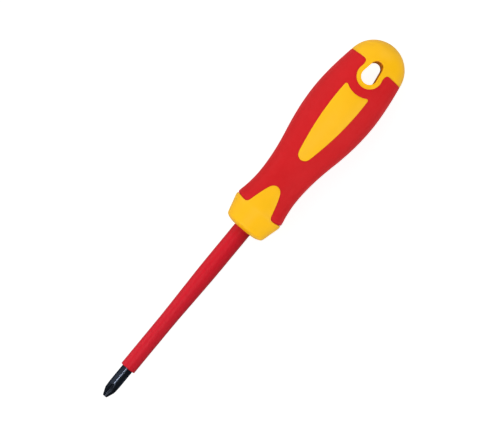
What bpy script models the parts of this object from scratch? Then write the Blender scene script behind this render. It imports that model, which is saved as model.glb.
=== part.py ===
"""Insulated screwdriver, PH2 x 100 mm class, as separate pieces.

The tool lies along X: tip towards -X, domed end towards +X, the windows and the
hanging hole facing +Z and -Z. The origin is under the middle of the whole length,
on the surface that the belly of the handle touches. Lengths below are in
millimetres; S is measured from the tip, so x = S - LENGTH / 2.
"""

import math

import bmesh
import bpy

# ---------------------------------------------------------------- dimensions, mm
MM = 0.001
LENGTH = 210.0  # tip to domed end
GAP = 0.3  # clearance between neighbouring pieces
ROUND = 48  # segments round the handle

# blade
BAR_R = 2.8
NOSE_R = 1.15  # blunt end of the PH2 cross
CONE_SLOPE = 0.45  # widening of the four wings
FLUTE_WALL = 46.0  # degrees, half of the 92 degree flute
ROOT_R = 0.62  # flute root at the nose
ROOT_SLOPE = 0.1007  # 5.75 degrees
ROOT_STRAIGHT = 2.2  # where the cutter starts to leave
CUTTER_R = 11.94
FLUTE_TURN = 11.0  # degrees between a flute's middle and +Z
TANG_END = 172.0
TANG_WING = (4.0, 1.75)  # half width and half thickness of the flattened tang
TANG_FLAT = (143.0, 148.0, 160.0, 164.0)

# sleeve
SLEEVE_START, SLEEVE_END = 16.7, 120.3
SLEEVE_STATIONS = ((16.7, 3.80), (48.0, 3.83), (61.0, 4.12), (74.0, 4.38), (99.0, 4.43))

# handle
COLLAR_FRONT = 100.2
COLLAR_FLAT_R = 6.4
COLLAR_CORNER = (101.1, 9.05)
COLLAR_FLARE = ((102.4, 10.42), (110.8, 12.60))
COLLAR_BACK = 112.2
GRIP_FRONT, GRIP_BACK = 112.6, 197.1
GRIP_T = 2.0
OUTLINE = (  # station, radius, slope of the handle's outline
    (113.0, 12.72, -0.20),
    (126.3, 11.15, 0.0),
    (149.0, 13.88, 0.216),
    (173.6, 16.75, 0.0),
    (197.9, 14.22, -0.17),
)
DOME_CENTRE, DOME_R = 195.6, 14.4
AXIS_Z = 16.75  # height of the tool's axis: the belly's radius

# windows in the grip, in plan
TONGUE_ROOT = (113.8, 6.22)
TONGUE_SLOPE = -0.3135
TONGUE_TIP = 125.6
LOBE_CORNER = 8.4
PANEL = (141.86, 176.5, 6.85, 0.00363)  # front, widest station, half width, curvature
RING_CENTRE, RING_R = 191.55, 6.12
PANEL_BACK_R = 10.5
HOLE_BIG = (191.42, 3.86)
HOLE_SMALL = (196.85, 2.95)

# hidden core round the tang
CORE_START, CORE_END = 120.9, 180.0
CORE_STATIONS = ((120.9, 6.2), (138.0, 6.2), (154.0, 8.8), (176.0, 8.8), (180.0, 7.6))
CORE_RIBS = 6
CORE_RIB = 0.05


# ---------------------------------------------------------------- scene helpers
def clear_scene():
    for ob in list(bpy.data.objects):
        bpy.data.objects.remove(ob, do_unlink=True)
    for block in (bpy.data.meshes, bpy.data.materials):
        for item in list(block):
            block.remove(item)


def material(name, rgb, roughness, metallic=0.0):
    mat = bpy.data.materials.new(name)
    mat.use_nodes = True
    shader = mat.node_tree.nodes["Principled BSDF"]
    shader.inputs["Base Color"].default_value = (*rgb, 1.0)
    shader.inputs["Roughness"].default_value = roughness
    shader.inputs["Metallic"].default_value = metallic
    return mat


def to_world(s, y, z):
    return ((s - LENGTH / 2) * MM, y * MM, (z + AXIS_Z) * MM)


def new_object(name, bm, mat=None):
    bmesh.ops.recalc_face_normals(bm, faces=bm.faces[:])
    mesh = bpy.data.meshes.new(name)
    bm.to_mesh(mesh)
    bm.free()
    ob = bpy.data.objects.new(name, mesh)
    bpy.context.scene.collection.objects.link(ob)
    if mat:
        mesh.materials.append(mat)
    return ob


def as_cutter(ob):
    ob.hide_render = True
    ob.display_type = "WIRE"
    return ob


def boolean(target, other, operation):
    mod = target.modifiers.new(other.name, "BOOLEAN")
    mod.operation = operation
    mod.object = as_cutter(other)
    return mod


def smooth(ob, degrees=35.0):
    ob.data.shade_smooth()
    ob.data.set_sharp_from_angle(angle=math.radians(degrees))


def skin(name, rings, mat=None, closed=False):
    """Joins rings of points (a single point is a pole); closed joins last to first."""
    bm = bmesh.new()
    rows = [[bm.verts.new(to_world(*p)) for p in ring] for ring in rings]
    pairs = list(zip(rows, rows[1:]))
    if closed:
        pairs.append((rows[-1], rows[0]))
    for a, b in pairs:
        n = max(len(a), len(b))
        for i in range(n):
            j = (i + 1) % n
            if len(a) == 1:
                bm.faces.new((a[0], b[i], b[j]))
            elif len(b) == 1:
                bm.faces.new((a[i], b[0], a[j]))
            else:
                bm.faces.new((a[i], b[i], b[j], a[j]))
    if not closed:
        for row in (rows[0], rows[-1]):
            if len(row) > 2:
                bm.faces.new(row)
    return new_object(name, bm, mat)


def circle(s, r, n, wave=0.0, ribs=0):
    if r < 1e-6:
        return [(s, 0.0, 0.0)]
    points = []
    for i in range(n):
        a = 2 * math.pi * i / n
        k = r * (1 + wave * math.cos(ribs * a))
        points.append((s, k * math.cos(a), k * math.sin(a)))
    return points


def turned(name, profile, n, mat=None, closed=True):
    return skin(name, [circle(s, r, n) for s, r in profile], mat, closed)


def prism(name, outline, low=-30.0, high=30.0):
    bm = bmesh.new()
    base = bm.faces.new([bm.verts.new(to_world(s, y, low)) for s, y in outline])
    made = bmesh.ops.extrude_face_region(bm, geom=[base])["geom"]
    top = [v for v in made if isinstance(v, bmesh.types.BMVert)]
    bmesh.ops.translate(bm, verts=top, vec=(0, 0, (high - low) * MM))
    return new_object(name, bm)


# ---------------------------------------------------------------- shape rules
def between(stations, s):
    if s <= stations[0][0]:
        return stations[0][1]
    for (s0, r0), (s1, r1) in zip(stations, stations[1:]):
        if s <= s1:
            return r0 + (r1 - r0) * (s - s0) / (s1 - s0)
    return stations[-1][1]


def handle_r(s):
    """Outer radius of the handle behind the collar: cubic stations, then the dome."""
    if s >= OUTLINE[-1][0]:
        return math.sqrt(max(DOME_R**2 - (s - DOME_CENTRE) ** 2, 0.0))
    for (s0, r0, m0), (s1, r1, m1) in zip(OUTLINE, OUTLINE[1:]):
        if s <= s1:
            h = s1 - s0
            t = (s - s0) / h
            return (
                (1 + 2 * t) * (1 - t) ** 2 * r0
                + t * (1 - t) ** 2 * h * m0
                + t * t * (3 - 2 * t) * r1
                + t * t * (t - 1) * h * m1
            )
    return 0.0


def steps(a, b, n):
    return [a + (b - a) * i / n for i in range(n + 1)]


def arc(cs, cy, r, a0, a1, n):
    return [
        (cs + r * math.cos(math.radians(a)), cy + r * math.sin(math.radians(a)))
        for a in steps(a0, a1, n)
    ]


def mirrored(half):
    """A plan outline from its +Y half, which runs from the +S side to the -S side."""
    return half + [(s, -y) for s, y in reversed(half) if y > 1e-6]


def panel_outline(grow):
    front, widest, half, curve = PANEL
    back = RING_CENTRE - PANEL_BACK_R

    def side(s):
        return half - curve * (widest - s) ** 2 + grow

    points = [(back + grow, 0.0)]
    radius = PANEL_BACK_R - grow
    for y in (2.2, 4.2, 5.5):
        points.append((RING_CENTRE - math.sqrt(radius**2 - y * y), y))
    points.append((182.65 + grow, 6.25 + grow * 0.5))
    points.append((181.85, side(181.85) - 0.12))
    points += [(s, side(s)) for s in (178.0, 170.0, 162.0, 154.0, 147.0, 143.6)]
    points += [(142.45, 1.9 + grow), (front - grow, 0.9), (front - grow, 0.0)]
    return mirrored(points)


def tongue_outline(grow):
    """Tongue of the collar; its wide end runs forward inside the collar."""
    lean = math.atan(-TONGUE_SLOPE)
    s0, w0 = TONGUE_ROOT
    tip = TONGUE_TIP + grow
    w_tip = w0 + TONGUE_SLOPE * (TONGUE_TIP - s0)
    radius = w_tip * math.cos(lean) / (1 - math.sin(lean)) + grow
    points = [
        (tip - radius + radius * math.cos(a), radius * math.sin(a))
        for a in steps(0.0, math.pi / 2 - lean, 5)
    ]
    points.append((s0, w0 + grow / math.cos(lean)))
    points.append((s0 - 0.75, w0 + 0.5 + grow))
    points.append((GRIP_FRONT, LOBE_CORNER + grow))
    points.append((GRIP_FRONT - 3.0, LOBE_CORNER + grow))
    return mirrored(points)


def ring_outline(grow):
    points = [(200.0, 7.0 + grow), (GRIP_BACK, 7.0 + grow)]
    points += [(196.4, 6.2 + grow), (195.2, 5.8 + grow), (193.6, 5.83 + grow)]
    points += arc(RING_CENTRE, 0.0, RING_R + grow, 90.0, 180.0, 8)
    return mirrored(points)


def hole_outline():
    (s0, r0), (s1, r1) = HOLE_BIG, HOLE_SMALL
    lean = math.degrees(math.asin((r0 - r1) / (s1 - s0)))
    points = arc(s1, 0.0, r1, 0.0, 90.0 - lean, 6)
    points += arc(s0, 0.0, r0, 90.0 - lean, 180.0, 8)
    return mirrored(points)


# ---------------------------------------------------------------- blade
def root_r(s):
    straight = ROOT_R + ROOT_SLOPE * s
    if s <= ROOT_STRAIGHT:
        return straight
    d = s - ROOT_STRAIGHT
    if d >= CUTTER_R:
        return BAR_R
    return min(straight + CUTTER_R - math.sqrt(CUTTER_R**2 - d * d), BAR_R)


def blade_ring(s, extra=0.0, tip=True):
    """One section of the blade: five points in each quarter, so a flute has a root
    and two edges, and a wing has an outer face."""
    outer = BAR_R if not tip else min(BAR_R, NOSE_R + CONE_SLOPE * s)
    root = min(root_r(s), outer) if tip else outer
    wall = math.radians(FLUTE_WALL)
    edge = wall - math.asin(min(root / outer, 1.0) * math.sin(wall))
    edge = max(edge, math.radians(9.0))
    a0, a1, a2, a3 = TANG_FLAT
    flat = 0.0
    if s > a0:
        flat = min(1.0, (s - a0) / (a1 - a0))
    if s > a2:
        flat = max(0.0, 1.0 - (s - a2) / (a3 - a2))
    wide = 1 + (TANG_WING[0] / BAR_R - 1) * flat
    thick = 1 + (TANG_WING[1] / BAR_R - 1) * flat
    points = []
    for quarter in range(4):
        middle = math.radians(90.0 * quarter + 90.0 - FLUTE_TURN)
        rest = (math.pi / 2 - 2 * edge) / 3
        for a, r in (
            (-edge, outer),
            (0.0, root),
            (edge, outer),
            (edge + rest, outer),
            (edge + 2 * rest, outer),
        ):
            points.append(
                (
                    s,
                    (r * wide + extra) * math.cos(middle + a),
                    (r * thick + extra) * math.sin(middle + a),
                )
            )
    return points


def tang_stations():
    return [TANG_FLAT[0], TANG_FLAT[1], TANG_FLAT[2], TANG_FLAT[3]]


def make_blade(mat):
    meets = (BAR_R - NOSE_R) / CONE_SLOPE
    stations = [0.0, meets / 2, meets, 4.5, 5.4, 6.3, 7.1, 7.8, 8.4]
    rings = [blade_ring(s) for s in stations]
    rings += [blade_ring(s, tip=False) for s in (60.0, 120.0, *tang_stations())]
    rings.append(blade_ring(TANG_END, tip=False))
    return skin("blade", rings, mat)


def make_sleeve(mat):
    inner = BAR_R + GAP
    outer = [(SLEEVE_START, SLEEVE_STATIONS[0][1] - 0.25)]
    outer.append((SLEEVE_START + 0.25, SLEEVE_STATIONS[0][1]))
    outer += [(s, between(SLEEVE_STATIONS, s)) for s in (48.0, 54.0, 61.0, 68.0, 74.0)]
    outer += [(99.0, 4.43), (SLEEVE_END, 4.43)]
    profile = [(SLEEVE_START, inner), *outer, (SLEEVE_END, inner)]
    return turned("blade_sleeve", profile, 32, mat)


# ---------------------------------------------------------------- core
def core_solid(name, extra, mat=None):
    first, last = CORE_STATIONS[0][0] - extra, CORE_STATIONS[-1][0] + extra
    rings = []
    for s, r in CORE_STATIONS:
        at = min(max(s, first), last)
        if s == CORE_STATIONS[0][0]:
            at = first
        if s == CORE_STATIONS[-1][0]:
            at = last
        rings.append(circle(at, r + extra, 36, CORE_RIB, CORE_RIBS))
    return skin(name, rings, mat)


def make_core(mat):
    core = core_solid("tang_core", 0.0, mat)
    rings = [blade_ring(CORE_START - 5.0, GAP, False)]
    rings += [blade_ring(s, GAP, False) for s in tang_stations()]
    rings.append(blade_ring(TANG_END + GAP, GAP, False))
    boolean(core, skin("tang_cavity", rings), "DIFFERENCE")
    return core


# ---------------------------------------------------------------- handle
def collar_profile():
    c0, c1 = COLLAR_CORNER
    points = [(COLLAR_FRONT, COLLAR_FLAT_R)]
    points.append((COLLAR_FRONT + (c0 - COLLAR_FRONT) * 0.3, (COLLAR_FLAT_R + c1) / 2))
    points += [(c0, c1), (101.6, 9.92)]
    points += list(COLLAR_FLARE)
    points += [(111.5, 12.64), (112.0, 12.45), (COLLAR_BACK, 12.1)]
    return points


def make_body(mat):
    bore = SLEEVE_STATIONS[-1][1] + GAP
    recess = GRIP_T + GAP
    profile = [(COLLAR_FRONT, 0.0), *collar_profile()]
    profile.append((COLLAR_BACK, 10.35))
    for s in (114.0, 119.0, 126.3, 134.0, 142.0, 150.0, 158.0, 166.0, 173.6):
        profile.append((s, handle_r(s) - recess))
    for s in (181.0, 189.0, GRIP_BACK + GAP):
        profile.append((s, handle_r(s) - recess))
    profile.append((GRIP_BACK + GAP, handle_r(GRIP_BACK + GAP)))
    for a in steps(12.0, 90.0, 8):
        angle = math.radians(a)
        s = DOME_CENTRE + DOME_R * math.sin(angle)
        profile.append((s, DOME_R * math.cos(angle) if a < 89.9 else 0.0))
    body = skin(
        "handle_body", [circle(s, r, ROUND) for s, r in profile], mat, closed=False
    )

    crest = [(108.0, 0.0), (108.0, 9.0), (111.4, 12.2), (112.3, 12.56), (113.6, 12.5)]
    crest += [(s, handle_r(s)) for s in (116.0, 119.0, 122.5, 126.3, 134.0, 142.0)]
    crest += [(s, handle_r(s)) for s in (150.0, 158.0, 166.0, 173.6, 181.0, 189.0)]
    crest += [(GRIP_BACK + GAP, handle_r(GRIP_BACK + GAP) - 0.02), (199.5, 11.0)]
    crest.append((199.5, 0.0))
    islands = turned("islands", crest, ROUND, closed=False)
    shapes = []
    for name, outline in (
        ("tongue_plan", tongue_outline(-GAP / 2)),
        ("panel_plan", panel_outline(-GAP / 2)),
        ("ring_plan", ring_outline(-GAP / 2)),
    ):
        shapes.append(prism(name, outline))
    plans = shapes[0]
    with bpy.context.temp_override(
        active_object=plans, selected_editable_objects=shapes
    ):
        bpy.ops.object.join()
    boolean(islands, plans, "INTERSECT")
    boolean(body, islands, "UNION")
    sleeve_bore = [(95.0, 0.0), (95.0, bore), (121.5, bore), (121.5, 0.0)]
    boolean(body, turned("sleeve_bore", sleeve_bore, 32, closed=False), "DIFFERENCE")
    boolean(body, core_solid("core_pocket", GAP), "DIFFERENCE")
    boolean(body, prism("hanging_hole", hole_outline()), "DIFFERENCE")
    return body


def make_grip(mat):
    outer = [(GRIP_FRONT, 11.7), (112.8, 12.1), (113.4, 12.42), (114.6, 12.33)]
    outer += [(s, handle_r(s)) for s in (117.0, 120.0, 123.0, 126.3, 130.0, 134.0)]
    outer += [(s, handle_r(s)) for s in (138.0, 142.0, 146.0, 150.0, 154.0, 158.0)]
    outer += [(s, handle_r(s)) for s in (162.0, 166.0, 173.6, 181.0, 189.0, 196.8)]
    outer.append((GRIP_BACK, handle_r(GRIP_BACK) - 0.3))
    inner = [(GRIP_BACK, handle_r(GRIP_BACK) - GRIP_T)]
    for s in (189.0, 181.0, 173.6, 166.0, 158.0, 150.0, 142.0, 134.0, 126.3, 119.0):
        inner.append((s, handle_r(s) - GRIP_T))
    inner += [(114.0, handle_r(114.0) - GRIP_T), (GRIP_FRONT, 10.65)]
    grip = turned("grip", outer + inner, ROUND, mat)
    for name, outline in (
        ("tongue_window", tongue_outline(GAP / 2)),
        ("panel_window", panel_outline(GAP / 2)),
        ("ring_window", ring_outline(GAP / 2)),
    ):
        boolean(grip, prism(name, outline), "DIFFERENCE")
    return grip


def main():
    clear_scene()
    steel = material("black_oxide_steel", (0.030, 0.034, 0.045), 0.35, 0.9)
    sleeve_red = material("sleeve_red", (0.55, 0.021, 0.038), 0.42)
    yellow = material("handle_yellow", (0.96, 0.50, 0.018), 0.38)
    red = material("grip_red", (0.60, 0.018, 0.023), 0.62)
    natural = material("core_natural", (0.62, 0.58, 0.48), 0.55)
    made = [
        make_blade(steel),
        make_sleeve(sleeve_red),
        make_core(natural),
        make_body(yellow),
        make_grip(red),
    ]
    for ob in made:
        smooth(ob)


main()
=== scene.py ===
"""The looks of the insulated screwdriver: fine meshes, procedural materials, light and camera.

Shapes are worked out in millimetres. S runs along the tool from the tip, y across
it, z up from the blade axis. Each surface of the handle is laid out in plan on an
unrolled half skin (a = length along the profile, b = length round it), where the
seams between yellow and red are curves, and is then rolled up.
"""

import math

import bmesh
import bpy
import numpy as np
from mathutils import Matrix, Vector
from mathutils.geometry import delaunay_2d_cdt


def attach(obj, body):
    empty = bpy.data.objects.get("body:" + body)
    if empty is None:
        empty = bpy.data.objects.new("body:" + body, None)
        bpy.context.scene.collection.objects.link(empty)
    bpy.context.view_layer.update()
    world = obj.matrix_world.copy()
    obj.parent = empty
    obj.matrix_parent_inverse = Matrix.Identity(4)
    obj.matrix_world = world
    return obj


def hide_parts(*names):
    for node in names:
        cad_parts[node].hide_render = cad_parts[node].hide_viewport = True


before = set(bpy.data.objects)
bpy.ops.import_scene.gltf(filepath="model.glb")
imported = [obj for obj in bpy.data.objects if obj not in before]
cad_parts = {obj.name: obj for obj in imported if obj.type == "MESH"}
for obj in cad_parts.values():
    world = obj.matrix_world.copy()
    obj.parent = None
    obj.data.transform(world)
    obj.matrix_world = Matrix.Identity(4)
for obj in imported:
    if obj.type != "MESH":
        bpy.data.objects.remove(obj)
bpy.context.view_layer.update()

LENGTH = 210.0
AXIS_Z = 16.75
MM = 0.001


# ------------------------------------------------------------------ curves
def catmull(points, spacing):
    """Centripetal Catmull-Rom curve through the points, resampled evenly."""
    p = np.array(points, float)
    p = np.vstack([2 * p[0] - p[1], p, 2 * p[-1] - p[-2]])
    out = []
    for i in range(1, len(p) - 2):
        p0, p1, p2, p3 = p[i - 1 : i + 3]
        t1 = np.linalg.norm(p1 - p0) ** 0.5
        t2 = t1 + np.linalg.norm(p2 - p1) ** 0.5
        t3 = t2 + np.linalg.norm(p3 - p2) ** 0.5
        for t in np.linspace(t1, t2, 24, endpoint=False):
            a1 = (t1 - t) / t1 * p0 + t / t1 * p1
            a2 = (t2 - t) / (t2 - t1) * p1 + (t - t1) / (t2 - t1) * p2
            a3 = (t3 - t) / (t3 - t2) * p2 + (t - t2) / (t3 - t2) * p3
            b1 = (t2 - t) / t2 * a1 + t / t2 * a2
            b2 = (t3 - t) / (t3 - t1) * a2 + (t - t1) / (t3 - t1) * a3
            out.append((t2 - t) / (t2 - t1) * b1 + (t - t1) / (t2 - t1) * b2)
    out.append(p[-2])
    return resample(np.array(out), spacing)


def lengths(p):
    return np.concatenate([[0], np.cumsum(np.linalg.norm(np.diff(p, axis=0), axis=1))])


def resample(p, spacing):
    along = lengths(p)
    n = max(2, int(round(along[-1] / spacing)) + 1)
    t = np.linspace(0, along[-1], n)
    return np.stack([np.interp(t, along, p[:, k]) for k in range(p.shape[1])], 1)


def left_normals(p, closed=False):
    if closed:
        t = np.roll(p, -1, 0) - np.roll(p, 1, 0)
    else:
        t = np.gradient(p, axis=0)
    t /= np.linalg.norm(t, axis=1)[:, None]
    return np.stack([-t[:, 1], t[:, 0]], 1)


def fillet(a, b, rho, side):
    """Rounds the corner where a ends and b starts; side is +1 when it turns left."""
    oa = a + side * rho * left_normals(a)
    ob = b + side * rho * left_normals(b)
    best = None
    for i in range(len(oa) - 1):
        p, r = oa[i], oa[i + 1] - oa[i]
        q, s = ob[:-1], np.diff(ob, axis=0)
        cross = r[0] * s[:, 1] - r[1] * s[:, 0]
        cross = np.where(abs(cross) < 1e-12, 1e-12, cross)
        w = q - p
        t = (w[:, 0] * s[:, 1] - w[:, 1] * s[:, 0]) / cross
        u = (w[:, 0] * r[1] - w[:, 1] * r[0]) / cross
        hit = np.nonzero((t >= 0) & (t <= 1) & (u >= 0) & (u <= 1))[0]
        if len(hit):
            best = (i, t[hit[0]], hit[0], u[hit[0]])
    if best is None:
        raise ValueError("a corner has no room for its radius")
    i, t, j, u = best
    c = oa[i] + t * (oa[i + 1] - oa[i])
    ta = a[i] + t * (a[i + 1] - a[i])
    tb = b[j] + u * (b[j + 1] - b[j])
    w0, w1 = math.atan2(*(ta - c)[::-1]), math.atan2(*(tb - c)[::-1])
    turn = (w1 - w0 + math.pi) % (2 * math.pi) - math.pi
    arc = [
        c + rho * np.array([math.cos(w0 + turn * k / 10), math.sin(w0 + turn * k / 10)])
        for k in range(11)
    ]
    return np.vstack([a[: i + 1], arc, b[j + 1 :]])


def circle_points(cs, cy, r, a0, a1, n=60):
    w = np.radians(np.linspace(a0, a1, n))
    return np.stack([cs + r * np.cos(w), cy + r * np.sin(w)], 1)


def line(p, q, n=60):
    t = np.linspace(0, 1, n)[:, None]
    return (1 - t) * np.array(p, float) + t * np.array(q, float)


# ------------------------------------------------------------------ handle profile
OUTLINE = (
    (113.0, 12.72, -0.20),
    (126.3, 11.15, 0.0),
    (149.0, 13.88, 0.216),
    (173.6, 16.75, 0.0),
    (197.9, 14.22, -0.17),
)
DOME_CENTRE, DOME_R = 195.6, 14.4
BORE_R = 4.45


def handle_r(s):
    if s >= OUTLINE[-1][0]:
        return math.sqrt(max(DOME_R**2 - (s - DOME_CENTRE) ** 2, 0.0))
    for (s0, r0, m0), (s1, r1, m1) in zip(OUTLINE, OUTLINE[1:]):
        if s <= s1:
            h = s1 - s0
            t = (s - s0) / h
            return (
                (1 + 2 * t) * (1 - t) ** 2 * r0
                + t * (1 - t) ** 2 * h * m0
                + t * t * (3 - 2 * t) * r1
                + t * t * (t - 1) * h * m1
            )
    return 0.0


def handle_profile():
    """Dense (S, r) line from the bore's edge over the collar and grip to the pole."""
    guard = [
        (100.10, BORE_R),
        (100.18, 5.6),
        (100.37, 6.9),
        (100.67, 8.0),
        (101.10, 9.05),
        (101.38, 9.64),
        (101.76, 10.08),
        (102.40, 10.42),
        (103.80, 10.86),
        (106.10, 11.46),
        (108.40, 12.09),
        (109.90, 12.51),
        (110.90, 12.73),
        (111.70, 12.80),
        (112.50, 12.76),
        (113.40, 12.66),
        (114.6, 12.48),
        (115.9, handle_r(115.9) + 0.03),
        (117.2, handle_r(117.2)),
        (118.4, handle_r(118.4)),
    ]
    first = catmull(guard, 0.1)
    middle = [(s, handle_r(s)) for s in np.arange(118.6, 197.8, 0.2)]
    w = np.radians(np.linspace(9.3, 90.0, 200))
    dome = np.stack([DOME_CENTRE + DOME_R * np.sin(w), DOME_R * np.cos(w)], 1)
    dome[-1] = (LENGTH, 0.0)
    return resample(np.vstack([first, middle, dome]), 0.05)


PROFILE = handle_profile()
PROFILE[-1] = (LENGTH, 0.0)
ALONG = lengths(PROFILE)
END = ALONG[-1]
_t = np.gradient(PROFILE, ALONG, axis=0)
_t /= np.linalg.norm(_t, axis=1)[:, None]
TANGENT = _t
_first_s = int(np.argmax(PROFILE[:, 0] > 100.6))


def s_of(a):
    return np.interp(a, ALONG, PROFILE[:, 0])


def r_of(a):
    return np.interp(a, ALONG, PROFILE[:, 1])


def a_of(s):
    return np.interp(s, PROFILE[_first_s:, 0], ALONG[_first_s:])


def unroll(plan):
    """(S, y) as seen square-on from above, to (a, b) on the unrolled half skin."""
    a = a_of(plan[:, 0])
    r = r_of(a)
    return np.stack([a, r * np.arcsin(np.clip(plan[:, 1] / r, -1, 1))], 1)


def rolled(ab, depth=0.0, drop=0.0):
    """(a, b) back to (S, y, z), sunk by depth along the normal and drop along z."""
    a, b = ab[:, 0], ab[:, 1]
    r = r_of(a)
    psi = np.clip(b / np.maximum(r, 1e-9), -math.pi / 2, math.pi / 2)
    psi[r < 1e-6] = 0.0
    ts = np.interp(a, ALONG, TANGENT[:, 0])
    tr = np.interp(a, ALONG, TANGENT[:, 1])
    s = s_of(a) + depth * tr
    rr = np.maximum(r - depth * ts, 0.0)
    y, z = rr * np.sin(psi), rr * np.cos(psi)
    z[np.abs(np.abs(psi) - math.pi / 2) < 1e-7] = 0.0
    return np.stack([s, y, z - drop], 1)


# ------------------------------------------------------------------ seams
STEP = 0.3


def half_skin(curve, spacing=STEP):
    return resample(curve, spacing)


def both_sides(half, closed):
    """A half curve (b >= 0) that starts at b = 0 becomes the whole curve."""
    other = half[::-1] * [1, -1]
    if closed:
        return np.vstack([half, other[1:-1]])
    return np.vstack([other[:-1], half])


def to_meridian(stations):
    """Runs round the handle to its side, S given at stations of the angle psi."""
    psi = np.linspace(stations[0][0], 90.0, 60)
    st = np.array(stations)
    s = np.interp(psi, st[:, 0], st[:, 1])
    s = np.convolve(np.pad(s, 4, mode="edge"), np.ones(9) / 9, "valid")
    a = a_of(s)
    return np.stack([a, r_of(a) * np.radians(psi)], 1)


def front_seam():
    tongue = catmull(
        [
            (125.60, 0.0),
            (125.48, 0.85),
            (125.05, 1.75),
            (124.22, 2.62),
            (123.0, 3.30),
            (121.15, 4.03),
            (119.35, 4.65),
            (117.45, 5.21),
            (115.65, 5.70),
            (113.75, 6.22),
            (110.3, 7.15),
        ],
        0.1,
    )
    side = unroll(tongue)
    lobe = to_meridian(
        ((22, 111.50), (42, 111.54), (48, 111.60), (55, 111.75), (63, 112.0), (68, 112.17), (76, 112.32), (90, 112.4))
    )
    curve = fillet(side, lobe, 2.3, -1)
    curve[0, 1] = 0.0
    return both_sides(half_skin(curve), False)


def panel_seam():
    back = circle_points(191.5, 0.0, 10.5, 180.0, 139.0, 80)
    s = np.linspace(184.2, 148.0, 200)
    side = np.stack([s, 6.85 - 0.00363 * (176.5 - s) ** 2], 1)
    nose = catmull(
        [
            *[tuple(q) for q in side[-3:]],
            (144.87, 3.26),
            (143.53, 2.79),
            (142.87, 2.33),
            (142.48, 1.87),
            (142.23, 1.40),
            (142.03, 0.93),
            (141.90, 0.46),
            (141.86, 0.0),
        ],
        0.1,
    )
    curve = fillet(back, np.vstack([side[:-3], nose]), 0.85, 1)
    curve = unroll(curve)
    curve[[0, -1], 1] = 0.0
    return both_sides(half_skin(curve), True)


def rear_seam():
    ring = circle_points(191.55, 0.0, 6.12, 180.0, 82.0, 90)
    neck = catmull(
        [
            tuple(ring[-2]),
            tuple(ring[-1]),
            (193.5, 5.84),
            (194.45, 5.75),
            (195.36, 5.81),
            (195.9, 5.93),
            (196.35, 6.15),
            (196.70, 6.5),
            (196.91, 6.95),
            (197.0, 7.5),
            (197.0, 8.0),
        ],
        0.1,
    )
    inner = unroll(np.vstack([ring[:-2], neck]))
    last = np.degrees(inner[-1, 1] / r_of(inner[-1, 0]))
    wall = to_meridian(((last, 197.0), (90.0, 197.0)))
    curve = np.vstack([inner[:-1], wall])
    curve[0, 1] = 0.0
    return both_sides(half_skin(curve), False)


HOLE_BIG, HOLE_SMALL = (191.42, 3.86), (196.85, 2.95)
HOLE_MIDDLE = (HOLE_BIG[0] + HOLE_SMALL[0]) / 2


def hole_plan():
    """Egg-shaped hanging hole, a closed curve in plan."""
    (s0, r0), (s1, r1) = HOLE_BIG, HOLE_SMALL
    lean = math.degrees(math.asin((r0 - r1) / (s1 - s0)))
    big = circle_points(s0, 0, r0, 180.0, 90.0 - lean, 60)
    small = circle_points(s1, 0, r1, 90.0 - lean, 0.0, 60)
    half = resample(np.vstack([big, small]), 0.3)
    half[[0, -1], 1] = 0.0
    return both_sides(half, True)


# ------------------------------------------------------------------ mesh building
class Shell:
    """Vertices and faces of one piece; halves are mirrored in z and welded."""

    def __init__(self):
        self.points, self.faces, self.n = [], [], 0

    def add(self, pts):
        pts = np.asarray(pts, float)
        self.points.append(pts)
        ids = np.arange(self.n, self.n + len(pts))
        self.n += len(pts)
        return ids

    def strip(self, low, high, closed=False):
        n = len(low)
        for i in range(n if closed else n - 1):
            j = (i + 1) % n
            self.faces.append((low[i], low[j], high[j], high[i]))

    def fan(self, ring, pole):
        for i in range(len(ring) - 1):
            self.faces.append((ring[i], ring[i + 1], pole))


def inside(points, loop):
    x, y = points[:, 0], points[:, 1]
    odd = np.zeros(len(points), bool)
    p, q = loop, np.roll(loop, -1, 0)
    for (x0, y0), (x1, y1) in zip(p, q):
        if y0 == y1:
            continue
        cut = (y0 > y) != (y1 > y)
        odd ^= cut & (x < (x1 - x0) * (y - y0) / (y1 - y0) + x0)
    return odd


def fill(shell, outer, holes, spacing, place):
    """Triangles between an outer loop and its holes. Each loop is (ids, ab)."""
    loops = [outer, *holes]
    ab = np.vstack([lp[1] for lp in loops])
    ids = np.concatenate([lp[0] for lp in loops])
    edges, at = [], 0
    for lp in loops:
        n = len(lp[0])
        edges += [(at + i, at + (i + 1) % n) for i in range(n)]
        at += n
    lo, hi = ab.min(0), ab.max(0)
    rows = []
    for k, b in enumerate(np.arange(lo[1], hi[1], spacing * 0.866)):
        a = np.arange(lo[0] + (k % 2) * spacing / 2, hi[0], spacing)
        rows.append(np.stack([a, np.full_like(a, b)], 1))
    grid = np.vstack(rows)
    keep = inside(grid, outer[1])
    for h in holes:
        keep &= ~inside(grid, h[1])
    grid = grid[keep]
    near = np.full(len(grid), 1e9)
    for k in range(0, len(ab), 200):
        d = np.linalg.norm(grid[:, None] - ab[None, k : k + 200], axis=2)
        near = np.minimum(near, d.min(1))
    grid = grid[near > spacing * 0.55]
    every = np.vstack([ab, grid])
    _, _, tris, orig, _, _ = delaunay_2d_cdt(
        [Vector(p) for p in every], edges, [], 0, 1e-7, True
    )
    new_ids = shell.add(place(grid))
    lookup = np.concatenate([ids, new_ids])
    back = [o[0] if o else -1 for o in orig]
    tri = np.array([[back[v] for v in t] for t in tris])
    tri = tri[(tri >= 0).all(1)]
    middle = every[tri].mean(1)
    ok = inside(middle, outer[1])
    for h in holes:
        ok &= ~inside(middle, h[1])
    p, q, r = every[tri[:, 0]], every[tri[:, 1]], every[tri[:, 2]]
    area = (q - p)[:, 0] * (r - p)[:, 1] - (q - p)[:, 1] * (r - p)[:, 0]
    tri = tri[ok & (abs(area) > 1e-9)]
    for t in tri:
        shell.faces.append(tuple(lookup[t]))


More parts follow.
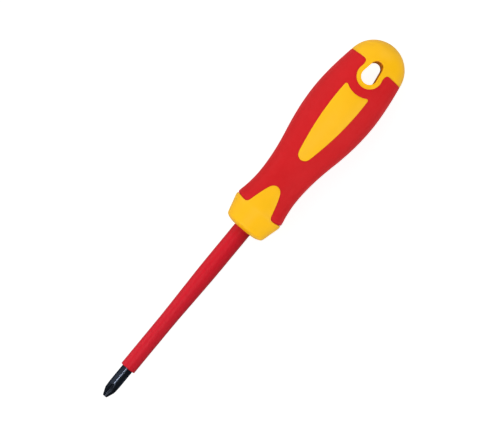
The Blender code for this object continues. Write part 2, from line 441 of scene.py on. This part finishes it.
def rounding(radius, count):
    """(across, down) fractions of the edge radius, outermost row first."""
    w = np.linspace(0, math.pi / 2, count)
    return radius, [(1 - math.sin(k), 1 - math.cos(k)) for k in w]


def edge_rows(curve, normals, edge, gap, closed, along_edge=0.0):
    """Offset rows of a seam, and each row's depth. An open seam's ends stay on the
    side meridian. The edge's radius may change along the seam."""
    radius, steps = edge
    radius = np.broadcast_to(radius, len(curve))
    rows, depths = [], []
    for across, down in steps:
        row = curve + normals * (radius * across + gap)[:, None]
        if not closed:
            for end, sign in ((0, -1), (-1, 1)):
                a = curve[end, 0] + along_edge * (radius[end] * across + gap)
                row[end] = (a, sign * math.pi / 2 * r_of(a))
        rows.append(row)
        depths.append(radius * down)
    return rows, depths


def meridian(a0, a1, sign, spacing):
    n = max(2, int(round(abs(a1 - a0) / spacing)))
    a = np.linspace(a0, a1, n + 1)[1:-1]
    return np.stack([a, sign * math.pi / 2 * r_of(a)], 1)


def finish_mesh(name, shell, mirror=True, sharp=50.0):
    pts = np.vstack(shell.points)
    faces = [tuple(int(i) for i in f) for f in shell.faces]
    if mirror:
        n = len(pts)
        pts = np.vstack([pts, pts * [1, 1, -1]])
        faces += [tuple(i + n for i in reversed(f)) for f in faces]
    world = np.stack(
        [(pts[:, 0] - LENGTH / 2) * MM, pts[:, 1] * MM, (pts[:, 2] + AXIS_Z) * MM], 1
    )
    mesh = bpy.data.meshes.new(name)
    mesh.from_pydata(world.tolist(), [], faces)
    bm = bmesh.new()
    bm.from_mesh(mesh)
    bmesh.ops.remove_doubles(bm, verts=bm.verts[:], dist=2e-6)
    bmesh.ops.dissolve_degenerate(bm, edges=bm.edges[:], dist=1e-7)
    bmesh.ops.delete(
        bm, geom=[v for v in bm.verts if not v.link_faces], context="VERTS"
    )
    bmesh.ops.recalc_face_normals(bm, faces=bm.faces[:])
    if bm.calc_volume(signed=True) < 0:
        bmesh.ops.reverse_faces(bm, faces=bm.faces[:])
    open_edges = sum(1 for e in bm.edges if len(e.link_faces) != 2)
    bm.to_mesh(mesh)
    bm.free()
    print(f"{name}: {len(mesh.polygons)} faces, {open_edges} open edges")
    ob = bpy.data.objects.new(name, mesh)
    bpy.context.scene.collection.objects.link(ob)
    mesh.shade_smooth()
    mesh.set_sharp_from_angle(angle=math.radians(sharp))
    return ob


# ------------------------------------------------------------------ the two mouldings
HOLE_EDGE = [
    (0.35 * (1 - math.sin(k)), 0.35 * (1 - math.cos(k)))
    for k in np.linspace(0, math.pi / 2, 6)
]
SUNK = 0.03  # the hard plastic sits this far under the grip's face
SEAM = 0.03
SKIN_T = 2.0

C1, C2, C3, HOLE = front_seam(), panel_seam(), rear_seam(), hole_plan()
N1, N2, N3 = left_normals(C1), left_normals(C2, True), left_normals(C3)


def round_at_sides(curve, middle, side):
    """An edge radius that grows from the top of the handle to its sides."""
    psi = np.degrees(np.abs(curve[:, 1]) / r_of(curve[:, 0]))
    t = np.clip((psi - 25.0) / 30.0, 0.0, 1.0)
    return middle + (side - middle) * t * t * (3 - 2 * t)


RED_EDGES = (
    rounding(round_at_sides(C1, 0.27, 0.90), 7),
    rounding(0.27, 6),
    rounding(round_at_sides(C3, 0.27, 0.45), 6),
)
YELLOW_EDGES = (
    rounding(round_at_sides(C1, 0.12, 0.34), 5),
    rounding(0.12, 4),
    rounding(0.12, 4),
)


def seam_rows(red):
    """Rows of each seam on the red or the yellow side, outermost first."""
    if red:
        e1, e2, e3 = RED_EDGES
        return (
            edge_rows(C1, -N1, e1, 0.0, False, 1.0),
            edge_rows(C2, -N2, e2, 0.0, True),
            edge_rows(C3, N3, e3, 0.0, False, -1.0),
        )
    e1, e2, e3 = YELLOW_EDGES
    return (
        edge_rows(C1, N1, e1, SEAM, False, -1.0),
        edge_rows(C2, N2, e2, SEAM, True),
        edge_rows(C3, -N3, e3, SEAM, False, 1.0),
    )


def lay(shell, edge, sunk, closed, floor):
    """Adds a seam's rounded edge and its wall; returns the top row and the wall's foot."""
    rows, depths = edge
    ids = [shell.add(rolled(row, depth=d + sunk)) for row, d in zip(rows, depths)]
    ids.append(shell.add(rolled(rows[-1], depth=floor)))
    for low, high in zip(ids, ids[1:]):
        shell.strip(low, high, closed)
    return ids[0], ids[-1]


def make_grip():
    shell = Shell()
    e1, e2, e3 = seam_rows(True)
    t1, f1 = lay(shell, e1, 0.0, False, SKIN_T)
    t2, f2 = lay(shell, e2, 0.0, True, SKIN_T)
    t3, f3 = lay(shell, e3, 0.0, False, SKIN_T)
    r1, r2, r3 = e1[0], e2[0], e3[0]

    def face(rows, ids, spacing, depth):
        (q1, q2, q3), (i1, i2, i3) = rows, ids
        up = meridian(q1[-1, 0], q3[-1, 0], 1, spacing)
        down = meridian(q3[0, 0], q1[0, 0], -1, spacing)
        iu = shell.add(rolled(up, depth=depth))
        idn = shell.add(rolled(down, depth=depth))
        outer = (
            np.concatenate([i1, iu, i3[::-1], idn]),
            np.vstack([q1, up, q3[::-1], down]),
        )
        fill(shell, outer, [(i2, q2)], spacing, lambda g: rolled(g, depth=depth))

    face((r1[0], r2[0], r3[0]), (t1, t2, t3), 0.75, 0.0)
    # The sides of the skin between its face and its inner surface are only on the
    # seams, so the meridians of both surfaces weld to the mirrored half.
    face((r1[-1], r2[-1], r3[-1]), (f1, f2, f3), 1.5, SKIN_T)
    return finish_mesh("grip_skin", shell)


def make_body():
    shell = Shell()
    floor = SKIN_T + 0.04
    e1, e2, e3 = seam_rows(False)
    t1, f1 = lay(shell, e1, SUNK, False, floor)
    t2, f2 = lay(shell, e2, SUNK, True, floor)
    t3, f3 = lay(shell, e3, SUNK, False, floor)
    r1, r2, r3 = e1[0], e2[0], e3[0]

    def sunk(g):
        return rolled(g, depth=SUNK)

    # the front window
    fill(shell, (t2, r2[0]), [], 0.75, sunk)

    # collar and tongue, from the bore's edge to the seam
    half = 40
    psi = np.linspace(-math.pi / 2, math.pi / 2, half + 1)
    edge = np.stack([np.zeros(half + 1), BORE_R * psi], 1)
    e = shell.add(sunk(edge))
    up = meridian(0.0, r1[0][-1, 0], 1, 0.6)
    down = meridian(r1[0][0, 0], 0.0, -1, 0.6)
    iu, idn = shell.add(sunk(up)), shell.add(sunk(down))
    outer = (
        np.concatenate([e, iu, t1[::-1], idn]),
        np.vstack([edge, up, r1[0][::-1], down]),
    )
    fill(shell, outer, [], 0.6, sunk)

    # domed end with the ring
    hole_n = left_normals(HOLE, True)
    hole_rows, hole_ids = [], []
    for d, z in HOLE_EDGE:
        ab = unroll(HOLE + hole_n * d)
        hole_rows.append(ab)
        hole_ids.append(shell.add(rolled(ab, depth=SUNK, drop=z)))
    for low, high in zip(hole_ids, hole_ids[1:]):
        shell.strip(low, high, True)
    rim = rolled(hole_rows[-1], depth=SUNK, drop=HOLE_EDGE[-1][1])
    last = hole_ids[-1]
    for k in range(1, 7):
        ring = rim * [1, 1, 1 - k / 6]
        now = shell.add(ring)
        shell.strip(last, now, True)
        last = now
    up = meridian(r3[0][-1, 0], END, 1, 0.6)
    down = meridian(END, r3[0][0, 0], -1, 0.6)
    iu, idn = shell.add(sunk(up)), shell.add(sunk(down))
    pole = np.array([[END, 0.0]])
    ip = shell.add(sunk(pole))
    outer = (
        np.concatenate([t3, iu, ip, idn]),
        np.vstack([r3[0], up, pole, down]),
    )
    fill(shell, outer, [(hole_ids[0], hole_rows[0])], 0.6, sunk)

    # floor under the grip
    q1, q2, q3 = r1[-1], r2[-1], r3[-1]
    up = meridian(q1[-1, 0], q3[-1, 0], 1, 1.5)
    down = meridian(q3[0, 0], q1[0, 0], -1, 1.5)
    iu = shell.add(rolled(up, depth=floor))
    idn = shell.add(rolled(down, depth=floor))
    outer = (
        np.concatenate([f1, iu, f3[::-1], idn]),
        np.vstack([q1, up, q3[::-1], down]),
    )
    fill(shell, outer, [(f2, q2)], 1.5, lambda g: rolled(g, depth=floor))

    # bore round the sleeve, and the pocket round the core
    stations = [
        (100.45, 4.44),
        (120.6, 4.44),
        (120.6, 6.9),
        (138.0, 6.9),
        (154.0, 9.6),
        (176.2, 9.6),
        (180.35, 8.4),
    ]
    last = e
    for s, r in stations:
        now = shell.add(
            np.stack([np.full(half + 1, s), r * np.sin(psi), r * np.cos(psi)], 1)
        )
        shell.strip(last, now)
        last = now
    shell.fan(last, shell.add([(180.35, 0.0, 0.0)])[0])
    return finish_mesh("handle_moulding", shell)


# ------------------------------------------------------------------ blade and sleeve
BAR_R, NOSE_R, CONE = 2.8, 1.15, 0.45
ROOT_R, ROOT_SLOPE, ROOT_STRAIGHT, CUTTER_R = 0.62, 0.1007, 2.2, 11.94
FLUTE_WALL, FLUTE_TURN = math.radians(46.0), math.radians(11.0)
TANG_END, TANG_FLAT = 172.0, (143.0, 148.0, 160.0, 164.0)


def blade_section(s, outer, root):
    """One section of the cross: each quarter is a flute (two walls, rounded root)
    and the outer face of a wing, with a tiny round on the wing's edges."""
    root = min(root, outer)
    edge = FLUTE_WALL - math.asin(min(root / outer, 1.0) * math.sin(FLUTE_WALL))
    edge = max(edge, math.radians(1.0))
    soft = 0.16 * min(1.0, (outer - root) / 0.5)
    pts = []
    for quarter in range(4):
        middle = math.pi / 2 * (quarter + 1) - FLUTE_TURN
        for k in range(-10, 11):
            w = edge * k / 10
            wall = root * math.sin(FLUTE_WALL) / math.sin(FLUTE_WALL - abs(w))
            wall = min(wall, outer)
            lift = math.sqrt((wall - root) ** 2 + soft**2 * 0.6) - 0.0
            r = min(root + lift, outer) if root < outer - 1e-6 else outer
            if abs(k) >= 9:
                r = min(r, outer - 0.02 * (abs(k) - 8) * min(1.0, (outer - root)))
            pts.append((s, r * math.cos(middle + w), r * math.sin(middle + w)))
        wing = math.pi / 2 - 2 * edge
        for k in range(1, 8):
            w = edge + wing * k / 8
            pts.append((s, outer * math.cos(middle + w), outer * math.sin(middle + w)))
    return np.array(pts)


def make_blade():
    shell = Shell()
    rows = []
    meets = (BAR_R - NOSE_R) / CONE

    def outer_at(s):
        # cone, softened where it meets the bar
        raw = NOSE_R + CONE * s
        if s < 0.25:
            raw = NOSE_R * (0.86 + 0.14 * math.sqrt(1 - (1 - s / 0.25) ** 2)) + CONE * s
        k = 0.25
        gap = BAR_R - raw
        return BAR_R - (gap + math.sqrt(gap * gap + k * k * 0.2)) / 2

    def root_at(s):
        straight = ROOT_R + ROOT_SLOPE * s
        if s > ROOT_STRAIGHT:
            d = min(s - ROOT_STRAIGHT, CUTTER_R)
            straight += CUTTER_R - math.sqrt(CUTTER_R**2 - d * d)
        return straight

    stations = np.concatenate(
        [[0.0, 0.05, 0.12, 0.2], np.arange(0.3, 8.4, 0.15), [8.6, 9.5, 12.0, 16.0]]
    )
    for s in stations:
        rows.append(blade_section(s, outer_at(s), root_at(s)))
    n = len(rows[-1])
    last = rows[-1]
    for s in (18.0, 60.0, 120.0, 143.0, 145.5, 148.0, 160.0, 162.0, 164.0, TANG_END):
        a0, a1, a2, a3 = TANG_FLAT
        flat = min(max((s - a0) / (a1 - a0), 0.0), 1.0)
        if s > a2:
            flat = max(0.0, 1.0 - (s - a2) / (a3 - a2))
        ring = last.copy()
        ring[:, 0] = s
        ring[:, 1] *= 1 + (4.0 / BAR_R - 1) * flat
        ring[:, 2] *= 1 + (1.75 / BAR_R - 1) * flat
        rows.append(ring)
    ids = [shell.add(r) for r in rows]
    for low, high in zip(ids, ids[1:]):
        shell.strip(low, high, True)
    # blunt nose: a very flat cone to a point on the axis
    inner = rows[0] * [1, 0.45, 0.45]
    inner[:, 0] = 0.0
    nose = shell.add(inner)
    shell.strip(nose, ids[0], True)
    tip = shell.add([(0.0, 0.0, 0.0)])[0]
    end = shell.add([(TANG_END, 0.0, 0.0)])[0]
    for i in range(n):
        shell.faces.append((nose[i], tip, nose[(i + 1) % n]))
        shell.faces.append((ids[-1][i], ids[-1][(i + 1) % n], end))
    return finish_mesh("blade_bar", shell, mirror=False, sharp=32.0)


def turned(name, profile, n, closed=True, sharp=40.0):
    shell = Shell()
    w = np.linspace(0, 2 * math.pi, n, endpoint=False)
    ids = [
        shell.add(np.stack([np.full(n, s), r * np.sin(w), r * np.cos(w)], 1))
        for s, r in profile
    ]
    pairs = list(zip(ids, ids[1:])) + ([(ids[-1], ids[0])] if closed else [])
    for low, high in pairs:
        shell.strip(low, high, True)
    return finish_mesh(name, shell, mirror=False, sharp=sharp)


def make_sleeve():
    start, end, inner = 16.7, 120.3, 2.83
    edge = 0.38
    r0 = 3.80
    points = [(start, inner), (start, 3.1)]
    for k in np.linspace(0, math.pi / 2, 8):
        points.append(
            (start + edge * (1 - math.sin(k + 0.0)), r0 - edge * (1 - math.cos(k)))
        )
    front = [points[0], points[1]]
    front += sorted(points[2:])
    taper = catmull(
        [(20.0, r0), (34.0, 3.80), (47.0, 3.83), (60.5, 4.10), (74.0, 4.38), (86.0, 4.43)],
        1.6,
    )
    body = [tuple(p) for p in taper] + [(99.0, 4.44), (end, 4.44), (end, inner)]
    body += [(60.0, inner)]
    return turned("sleeve_tube", front + body, 96)


# ------------------------------------------------------------------ materials
class Nodes:
    """Small helper for node trees."""

    def __init__(self, name):
        self.mat = bpy.data.materials.new(name)
        self.mat.use_nodes = True
        self.tree = self.mat.node_tree
        self.bsdf = self.tree.nodes["Principled BSDF"]
        coords = self.new("ShaderNodeTexCoord")
        self.at = coords.outputs["Object"]

    def new(self, kind, **values):
        node = self.tree.nodes.new(kind)
        for key, value in values.items():
            setattr(node, key, value)
        return node

    def link(self, a, b):
        self.tree.links.new(a, b)

    def mapped(self, scale=(1, 1, 1), rotation=(0, 0, 0), at=None):
        node = self.new("ShaderNodeMapping")
        node.inputs["Scale"].default_value = scale
        node.inputs["Rotation"].default_value = rotation
        self.link(at or self.at, node.inputs["Vector"])
        return node.outputs["Vector"]

    def noise(self, scale, detail=3.0, rough=0.5, at=None, distortion=0.0):
        node = self.new("ShaderNodeTexNoise")
        node.inputs["Scale"].default_value = scale
        node.inputs["Detail"].default_value = detail
        node.inputs["Roughness"].default_value = rough
        node.inputs["Distortion"].default_value = distortion
        self.link(at or self.at, node.inputs["Vector"])
        return node.outputs["Fac"]

    def voronoi(self, scale, feature="F1", at=None):
        node = self.new("ShaderNodeTexVoronoi", feature=feature)
        node.inputs["Scale"].default_value = scale
        self.link(at or self.at, node.inputs["Vector"])
        return node.outputs["Distance"]

    def ranged(self, value, low, high, to_low, to_high):
        node = self.new("ShaderNodeMapRange")
        node.inputs["From Min"].default_value = low
        node.inputs["From Max"].default_value = high
        node.inputs["To Min"].default_value = to_low
        node.inputs["To Max"].default_value = to_high
        self.link(value, node.inputs["Value"])
        return node.outputs["Result"]

    def maths(self, op, a, b):
        node = self.new("ShaderNodeMath", operation=op)
        for socket, value in zip(node.inputs, (a, b)):
            if isinstance(value, (int, float)):
                socket.default_value = value
            else:
                self.link(value, socket)
        return node.outputs["Value"]

    def mix(self, factor, a, b, blend="MIX"):
        node = self.new("ShaderNodeMix", data_type="RGBA", blend_type=blend)
        for socket, value in zip(
            (node.inputs[0], node.inputs[6], node.inputs[7]), (factor, a, b)
        ):
            if isinstance(value, tuple):
                socket.default_value = (*value, 1.0)
            elif isinstance(value, (int, float)):
                socket.default_value = value
            else:
                self.link(value, socket)
        return node.outputs[2]

    def bump(self, height, distance, strength=1.0, normal=None):
        node = self.new("ShaderNodeBump")
        node.inputs["Strength"].default_value = strength
        node.inputs["Distance"].default_value = distance
        self.link(height, node.inputs["Height"])
        if normal:
            self.link(normal, node.inputs["Normal"])
        return node.outputs["Normal"]

    def colour(self, socket):
        self.link(socket, self.bsdf.inputs["Base Color"])

    def rough(self, socket):
        self.link(socket, self.bsdf.inputs["Roughness"])

    def normal(self, socket):
        self.link(socket, self.bsdf.inputs["Normal"])

    def set(self, **values):
        for key, value in values.items():
            self.bsdf.inputs[key.replace("_", " ")].default_value = value


def yellow_plastic():
    n = Nodes("handle_yellow")
    broad = n.noise(70.0, 2.0, 0.5)
    fine = n.noise(900.0, 4.0, 0.6)
    base = n.mix(
        n.ranged(broad, 0.3, 0.7, 0.0, 1.0), (0.945, 0.492, 0.0036), (0.975, 0.516, 0.0054)
    )
    base = n.mix(n.ranged(fine, 0.35, 0.75, 0.0, 0.10), base, (0.86, 0.42, 0.003))
    n.colour(base)
    scuff = n.noise(260.0, 5.0, 0.65)
    polish = n.ranged(scuff, 0.3, 0.7, 0.30, 0.42)
    # the core pin leaves the hanging hole's wall matt
    split = n.new("ShaderNodeSeparateXYZ")
    n.link(n.at, split.inputs["Vector"])
    x = n.maths("SUBTRACT", split.outputs["X"], (HOLE_MIDDLE - LENGTH / 2) * MM)
    x = n.maths("MAXIMUM", n.maths("SUBTRACT", n.maths("ABSOLUTE", x, 0.0), 0.0027), 0.0)
    off = n.maths("ADD", n.maths("POWER", x, 2.0), n.maths("POWER", split.outputs["Y"], 2.0))
    in_hole = n.ranged(n.maths("SQRT", off, 0.0), 0.0040, 0.0043, 1.0, 0.0)
    z = n.maths("ABSOLUTE", n.maths("SUBTRACT", split.outputs["Z"], AXIS_Z * MM), 0.0)
    in_hole = n.maths("MULTIPLY", in_hole, n.ranged(z, 0.0130, 0.0136, 1.0, 0.0))
    n.rough(n.maths("MAXIMUM", polish, n.maths("MULTIPLY", in_hole, 0.9)))
    skin = n.noise(1500.0, 3.0, 0.55)
    n.normal(n.bump(skin, 0.000012, 0.6))
    n.set(IOR=1.46)
    n.bsdf.inputs["Specular IOR Level"].default_value = 0.30
    return n.mat


def red_grip():
    n = Nodes("grip_red")
    broad = n.noise(60.0, 2.0, 0.5)
    cloudy = n.noise(420.0, 4.0, 0.6)
    base = n.mix(
        n.ranged(broad, 0.3, 0.7, 0.0, 1.0), (0.586, 0.0062, 0.0096), (0.628, 0.0088, 0.0124)
    )
    base = n.mix(n.ranged(cloudy, 0.3, 0.75, 0.0, 0.16), base, (0.652, 0.022, 0.026))
    n.colour(base)
    n.rough(n.ranged(n.noise(700.0, 4.0, 0.6), 0.3, 0.7, 0.50, 0.64))
    grain = n.voronoi(2600.0)
    soft = n.noise(3800.0, 3.0, 0.6)
    height = n.maths("ADD", grain, soft)
    n.normal(n.bump(height, 0.00004, 0.55))
    n.bsdf.inputs["Specular IOR Level"].default_value = 0.20
    n.bsdf.inputs["Sheen Weight"].default_value = 0.06
    n.bsdf.inputs["Sheen Roughness"].default_value = 0.28
    n.bsdf.inputs["Sheen Tint"].default_value = (1.0, 0.75, 0.78, 1.0)
    return n.mat


def red_sleeve():
    n = Nodes("sleeve_red")
    flow = n.noise(320.0, 4.0, 0.6, at=n.mapped((0.05, 1.0, 1.0)))
    base = n.mix(
        n.ranged(flow, 0.3, 0.7, 0.0, 1.0), (0.560, 0.0068, 0.0185), (0.610, 0.0100, 0.0245)
    )
    # the red is a little purer towards the handle; painted shade darkens the sleeve
    # where it meets the guard, deeper on the shaded side
    split = n.new("ShaderNodeSeparateXYZ")
    n.link(n.at, split.inputs["Vector"])
    s = n.maths("ADD", split.outputs["X"], LENGTH / 2 * MM)
    base = n.mix(n.ranged(s, 0.045, 0.080, 0.0, 0.8), base, (0.588, 0.0042, 0.0150))
    guard_contact_shade = n.ranged(s, 0.0945, 0.0996, 0.0, 1.0)
    base = n.mix(guard_contact_shade, base, (0.495, 0.0042, 0.0100))
    # painted shade: deeper still on the -y side, which the lights leave darker
    side = n.ranged(split.outputs["Y"], -0.0042, -0.0018, 1.0, 0.0)
    base = n.mix(n.maths("MULTIPLY", guard_contact_shade, side), base, (0.375, 0.0030, 0.0070))
    n.colour(base)
    n.rough(n.ranged(n.noise(600.0, 4.0, 0.6), 0.3, 0.7, 0.30, 0.42))
    fine = n.noise(1700.0, 3.0, 0.5, at=n.mapped((0.35, 1.0, 1.0)))
    n.normal(n.bump(fine, 0.000012, 0.6))
    n.bsdf.inputs["Specular IOR Level"].default_value = 0.20
    return n.mat


def black_steel():
    n = Nodes("blade_steel")
    blotch = n.noise(500.0, 4.0, 0.6)
    base = n.mix(
        n.ranged(blotch, 0.3, 0.75, 0.0, 1.0), (0.052, 0.065, 0.096), (0.072, 0.088, 0.124)
    )
    # the milled flutes lie under the turned cone and bar, and are rougher and greyer
    split = n.new("ShaderNodeSeparateXYZ")
    n.link(n.at, split.inputs["Vector"])
    z = n.maths("SUBTRACT", split.outputs["Z"], AXIS_Z * MM)
    r = n.maths("ADD", n.maths("POWER", z, 2.0), n.maths("POWER", split.outputs["Y"], 2.0))
    r = n.maths("SQRT", r, 0.0)
    s = n.maths("ADD", split.outputs["X"], LENGTH / 2 * MM)
    turned_r = n.maths("ADD", n.maths("MULTIPLY", s, CONE), NOSE_R * MM)
    turned_r = n.maths("MINIMUM", turned_r, BAR_R * MM)
    under = n.maths("SUBTRACT", turned_r, r)
    milled = n.ranged(under, 0.00002, 0.00012, 0.0, 1.0)
    # where round a quarter: 0 in a flute's middle, one flank below and one above it
    w = n.maths("ARCTAN2", z, split.outputs["Y"])
    w = n.maths("MULTIPLY", w, 2 / math.pi)
    w = n.maths("ADD", w, FLUTE_TURN / (math.pi / 2) + 0.5)
    off = n.maths("SUBTRACT", n.maths("FRACT", w, 0.0), 0.5)
    # painted shade: the point is darker as far as the flutes run, with a rounded end at each of them, standing in for
    # the shade of deeper flute ends; it is rougher there as well
    reach = n.maths("MULTIPLY", n.maths("MULTIPLY", off, off), 0.006)
    point_shade_and_matt = n.ranged(n.maths("ADD", s, reach), 0.0071, 0.0077, 1.0, 0.0)
    base = n.mix(point_shade_and_matt, base, (0.031, 0.038, 0.054))
    # a painted highlight and painted shade: the driving flank of each flute is painted a lighter grey and the other
    # flank a darker one, the light one most of all at the nose
    lit_flank_mask = n.maths(
        "MULTIPLY",
        n.ranged(off, -0.05, 0.05, 0.0, 1.0),
        n.ranged(s, 0.0028, 0.0056, 1.0, 0.12),
    )
    flank = n.mix(lit_flank_mask, (0.040, 0.049, 0.070), (0.158, 0.186, 0.245))
    base = n.mix(milled, base, flank)
    # painted shade: the bar is darker towards the sleeve, where its highlight fades, and a little rougher there
    shade_and_dull = n.ranged(s, 0.0120, 0.0167, 0.0, 1.0)
    base = n.mix(shade_and_dull, base, (0.040, 0.050, 0.074))
    n.colour(base)
    lathe = n.noise(9000.0, 2.0, 0.5, at=n.mapped((1.0, 0.04, 0.04)))
    polish = n.ranged(n.noise(900.0, 4.0, 0.6), 0.3, 0.7, 0.205, 0.235)
    polish = n.maths("ADD", polish, n.maths("MULTIPLY", shade_and_dull, 0.05))
    matt = n.maths("MAXIMUM", point_shade_and_matt, milled)
    n.rough(n.maths("ADD", polish, n.maths("MULTIPLY", matt, 0.32)))
    n.normal(n.bump(lathe, 0.000006, 0.06))
    n.set(Metallic=1.0)
    n.bsdf.inputs["Specular Tint"].default_value = (0.12, 0.13, 0.16, 1.0)
    return n.mat


def natural_core():
    n = Nodes("core_natural")
    base = n.mix(n.noise(200.0, 4.0, 0.6), (0.56, 0.52, 0.42), (0.64, 0.60, 0.50))
    n.colour(base)
    n.rough(n.ranged(n.noise(500.0, 3.0, 0.6), 0.3, 0.7, 0.45, 0.6))
    n.normal(n.bump(n.noise(1500.0, 3.0, 0.5), 0.00002, 0.5))
    return n.mat


def pale_floor():
    n = Nodes("studio_floor")
    n.colour(n.mix(n.noise(3.0, 2.0, 0.5), (0.66, 0.66, 0.66), (0.70, 0.70, 0.70)))
    n.set(Roughness=0.9)
    n.bsdf.inputs["Specular IOR Level"].default_value = 0.0
    n.bsdf.inputs["Emission Color"].default_value = (1.0, 1.0, 1.0, 1.0)
    n.bsdf.inputs["Emission Strength"].default_value = 0.90
    return n.mat


def wear(ob, mat):
    ob.data.materials.clear()
    ob.data.materials.append(mat)


# ------------------------------------------------------------------ build
grip = make_grip()
body = make_body()
blade = make_blade()
sleeve = make_sleeve()

for piece, mat, node, slot in (
    (grip, red_grip(), "grip", "grip_red"),
    (body, yellow_plastic(), "handle_body", "handle_yellow"),
    (blade, black_steel(), "blade", "blade_steel"),
    (sleeve, red_sleeve(), "blade_sleeve", "sleeve_red"),
):
    wear(piece, mat)
    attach(piece, "root")
    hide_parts(node)
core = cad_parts["tang_core"]
for slot in core.material_slots:
    slot.material = natural_core()

# ------------------------------------------------------------------ stage
# A round floor that sweeps up into a wall, so that no edge shows from any side.
FLOOR_R, COVE_R, WALL_TOP, AROUND = 4.5, 2.0, 7.0, 96
outline = [(0.0, 0.0), (1.0, 0.0), (FLOOR_R, 0.0)]
for k in range(1, 13):
    w = math.pi / 2 * k / 12
    outline.append((FLOOR_R + COVE_R * math.sin(w), COVE_R * (1 - math.cos(w))))
outline.append((FLOOR_R + COVE_R, WALL_TOP))
floor_points, floor_faces = [(0.0, 0.0, 0.0)], []
for r, z in outline[1:]:
    for k in range(AROUND):
        w = 2 * math.pi * k / AROUND
        floor_points.append((r * math.cos(w), r * math.sin(w), z))
for k in range(AROUND):
    floor_faces.append((0, 1 + k, 1 + (k + 1) % AROUND))
for row in range(len(outline) - 2):
    at = 1 + row * AROUND
    for k in range(AROUND):
        n = (k + 1) % AROUND
        floor_faces.append((at + k, at + AROUND + k, at + AROUND + n, at + n))
floor_mesh = bpy.data.meshes.new("studio_floor")
floor_mesh.from_pydata(floor_points, [], floor_faces)
floor_mesh.shade_smooth()
floor = bpy.data.objects.new("studio_floor", floor_mesh)
bpy.context.scene.collection.objects.link(floor)
wear(floor, pale_floor())
floor.visible_glossy = False
floor.visible_diffuse = False

world = bpy.data.worlds.new("studio")
bpy.context.scene.world = world
world.use_nodes = True
tree = world.node_tree


def world_node(kind, **values):
    node = tree.nodes.new(kind)
    for key, value in values.items():
        setattr(node, key, value)
    return node


def ramped(value, low, high, to_low, to_high):
    node = world_node("ShaderNodeMapRange", interpolation_type="SMOOTHSTEP")
    for key, number in (
        ("From Min", low),
        ("From Max", high),
        ("To Min", to_low),
        ("To Max", to_high),
    ):
        node.inputs[key].default_value = number
    tree.links.new(value, node.inputs["Value"])
    return node.outputs["Result"]


# A soft studio dome: one side a little brighter, and an even bounce from below.
WORLD_DARK, WORLD_BRIGHT, WORLD_BELOW = 0.10, 0.50, 0.34
back = tree.nodes["Background"]
coords = world_node("ShaderNodeTexCoord")
split = world_node("ShaderNodeSeparateXYZ")
tree.links.new(coords.outputs["Generated"], split.inputs["Vector"])
above = ramped(split.outputs["Y"], -0.45, 0.55, WORLD_DARK, WORLD_BRIGHT)
below = ramped(split.outputs["Z"], -0.45, 0.05, 1.0, 0.0)
blend = world_node("ShaderNodeMix", data_type="FLOAT")
tree.links.new(below, blend.inputs[0])
tree.links.new(above, blend.inputs[2])
blend.inputs[3].default_value = WORLD_BELOW
tree.links.new(blend.outputs[0], back.inputs["Strength"])
back.inputs["Color"].default_value = (1.0, 1.0, 1.0, 1.0)


def area(name, place, target, size, power, glossy=True):
    data = bpy.data.lights.new(name, "AREA")
    data.shape = "RECTANGLE"
    data.size, data.size_y = size
    data.energy = power
    ob = bpy.data.objects.new(name, data)
    ob.location = place
    ob.rotation_euler = (
        (Vector(target) - Vector(place)).to_track_quat("-Z", "Y").to_euler()
    )
    ob.visible_glossy = glossy
    ob.visible_camera = False
    bpy.context.scene.collection.objects.link(ob)
    return ob


def only_for(light, *pieces):
    """A flagged light: it falls on the given pieces alone."""
    group = bpy.data.collections.new(light.name + "_on")
    for piece in pieces:
        group.objects.link(piece)
    light.light_linking.receiver_collection = group


middle = (0.0, 0.0, AXIS_Z * MM)
panel = (0.9, 0.9)
for name, place, power in (
    ("handle_high_right", (0.0, -0.9, 1.2), 5.45),
    ("handle_low_left", (0.0, 1.4, 0.35), 9.2),
    ("handle_low_right", (0.0, -1.4, 0.35), 8.65),
    ("handle_low_back", (1.4, 0.0, 0.35), 8.95),
    ("handle_low_front", (-1.4, 0.0, 0.35), 8.15),
    ("handle_steep", (-0.42, 0.12, 1.44), 6.6),
):
    only_for(area(name, place, middle, panel, power, glossy=False), grip, body)
for name, place, power in (
    ("blade_steep", (-0.42, 0.12, 1.44), 7.75),
    ("blade_high_right", (0.0, -0.9, 1.2), 1.76),
    ("blade_low_left", (0.0, 1.4, 0.35), 7.7),
    ("blade_low_right", (0.0, -1.4, 0.35), 2.64),
    ("blade_high_back", (0.95, 0.0, 1.1), 6.82),
    ("blade_low_back", (1.4, 0.0, 0.35), 8.72),
):
    only_for(area(name, place, middle, panel, power, glossy=False), sleeve, blade)
strip = area("blade_strip", (0.0, 0.235, 1.05), middle, (1.0, 0.07), 6.9)
strip.data.color = (1.0, 0.94, 0.86)
only_for(strip, blade)

# ------------------------------------------------------------------ camera
cam_data = bpy.data.cameras.new("camera")
cam_data.sensor_width = 36.0
cam_data.lens = 233.2
cam = bpy.data.objects.new("camera", cam_data)
bpy.context.scene.collection.objects.link(cam)
turn = math.radians(50.43)
target = Vector((-0.00014, -0.00068, AXIS_Z * MM))
place = target + Vector((0.0, 0.029, 1.5))
back_dir = (place - target).normalized()
right = Vector((math.cos(turn), -math.sin(turn), 0.0))
right = (right - back_dir * right.dot(back_dir)).normalized()
up_dir = back_dir.cross(right)
cam.matrix_world = Matrix(
    (
        (right.x, up_dir.x, back_dir.x, place.x),
        (right.y, up_dir.y, back_dir.y, place.y),
        (right.z, up_dir.z, back_dir.z, place.z),
        (0, 0, 0, 1),
    )
)
bpy.context.scene.camera = cam
bpy.context.scene.view_settings.view_transform = "Standard"
